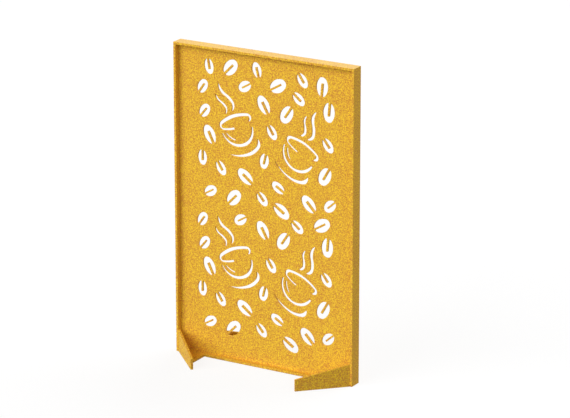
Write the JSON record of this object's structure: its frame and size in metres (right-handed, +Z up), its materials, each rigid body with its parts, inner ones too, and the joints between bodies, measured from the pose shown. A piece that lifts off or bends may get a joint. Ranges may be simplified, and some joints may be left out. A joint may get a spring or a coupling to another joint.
{
  "type": "partition",
  "caption": "Free-standing partition: a tall board frame on diagonal feet, round a recessed panel cut through with coffee beans and steaming cups.",
  "frame": {"origin": "on the floor, under the middle of the screen", "axes": "+X along the width to the viewer's right, +Y from the front to the back, +Z up"},
  "size_m": [1.2, 0.5406, 1.9],
  "materials": {
    "gold_lacquer": "satin",
    "beech": "matte"
  },
  "bodies": {
    "root": {"left_stile": "gold_lacquer", "right_stile": "gold_lacquer", "bottom_rail": "gold_lacquer", "top_rail": "gold_lacquer", "panel": "gold_lacquer", "front_left_brace": "gold_lacquer", "front_left_base": "gold_lacquer", "front_right_brace": "gold_lacquer", "front_right_base": "gold_lacquer", "back_left_brace": "gold_lacquer", "back_left_base": "gold_lacquer", "back_right_brace": "gold_lacquer", "back_right_base": "gold_lacquer", "corner_tenons": "beech", "brace_tenons": "beech", "base_edge_tenons": "beech", "base_slope_tenons": "beech"}
  },
  "joints": []
}
